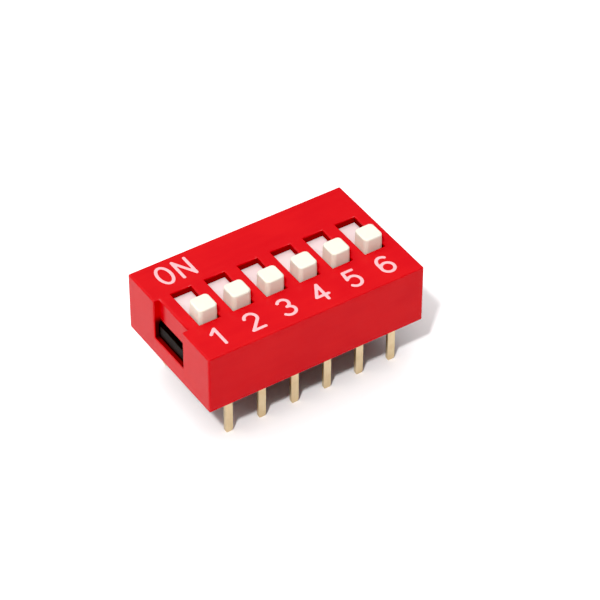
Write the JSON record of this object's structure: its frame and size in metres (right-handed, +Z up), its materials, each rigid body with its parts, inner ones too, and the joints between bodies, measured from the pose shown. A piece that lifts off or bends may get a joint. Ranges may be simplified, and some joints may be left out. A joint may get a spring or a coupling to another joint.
{
  "type": "dip switch",
  "caption": "Slide DIP switch for a circuit board: red latched cover with a row of white slide knobs over a black base with rows of pins.",
  "frame": {"origin": "middle of the pin grid, on the plane where the cover's rim meets the circuit board", "axes": "+X along the bank from switch 1 to switch 6, +Y from OFF to ON, +Z up from the board"},
  "size_m": [0.0165, 0.0098, 0.009],
  "materials": {
    "cover_plastic": "moulded red plastic, satin gloss",
    "base_plastic": "moulded black plastic",
    "actuator_plastic": "moulded cream-white plastic",
    "terminal_plating": "pale gold plating on stamped strip",
    "contact_plating": "gold plating on spring strip"
  },
  "bodies": {
    "housing": {"cover": "cover_plastic", "base": "base_plastic", "front_terminal_1": "terminal_plating", "front_terminal_2": "terminal_plating", "front_terminal_3": "terminal_plating", "front_terminal_4": "terminal_plating", "front_terminal_5": "terminal_plating", "front_terminal_6": "terminal_plating", "rear_terminal_1": "terminal_plating", "rear_terminal_2": "terminal_plating", "rear_terminal_3": "terminal_plating", "rear_terminal_4": "terminal_plating", "rear_terminal_5": "terminal_plating", "rear_terminal_6": "terminal_plating"},
    "slider_1": {"actuator_1": "actuator_plastic", "bridge_contact_1": "contact_plating"},
    "slider_2": {"actuator_2": "actuator_plastic", "bridge_contact_2": "contact_plating"},
    "slider_3": {"actuator_3": "actuator_plastic", "bridge_contact_3": "contact_plating"},
    "slider_4": {"actuator_4": "actuator_plastic", "bridge_contact_4": "contact_plating"},
    "slider_5": {"actuator_5": "actuator_plastic", "bridge_contact_5": "contact_plating"},
    "slider_6": {"actuator_6": "actuator_plastic", "bridge_contact_6": "contact_plating"}
  },
  "joints": [
    {"name": "slide_1", "type": "slide", "parent": "housing", "child": "slider_1", "axis": [0, 1, 0], "range_m": [0, 0.002]},
    {"name": "slide_2", "type": "slide", "parent": "housing", "child": "slider_2", "axis": [0, 1, 0], "range_m": [0, 0.002]},
    {"name": "slide_3", "type": "slide", "parent": "housing", "child": "slider_3", "axis": [0, 1, 0], "range_m": [0, 0.002]},
    {"name": "slide_4", "type": "slide", "parent": "housing", "child": "slider_4", "axis": [0, 1, 0], "range_m": [0, 0.002]},
    {"name": "slide_5", "type": "slide", "parent": "housing", "child": "slider_5", "axis": [0, 1, 0], "range_m": [0, 0.002]},
    {"name": "slide_6", "type": "slide", "parent": "housing", "child": "slider_6", "axis": [0, 1, 0], "range_m": [0, 0.002]}
  ]
}
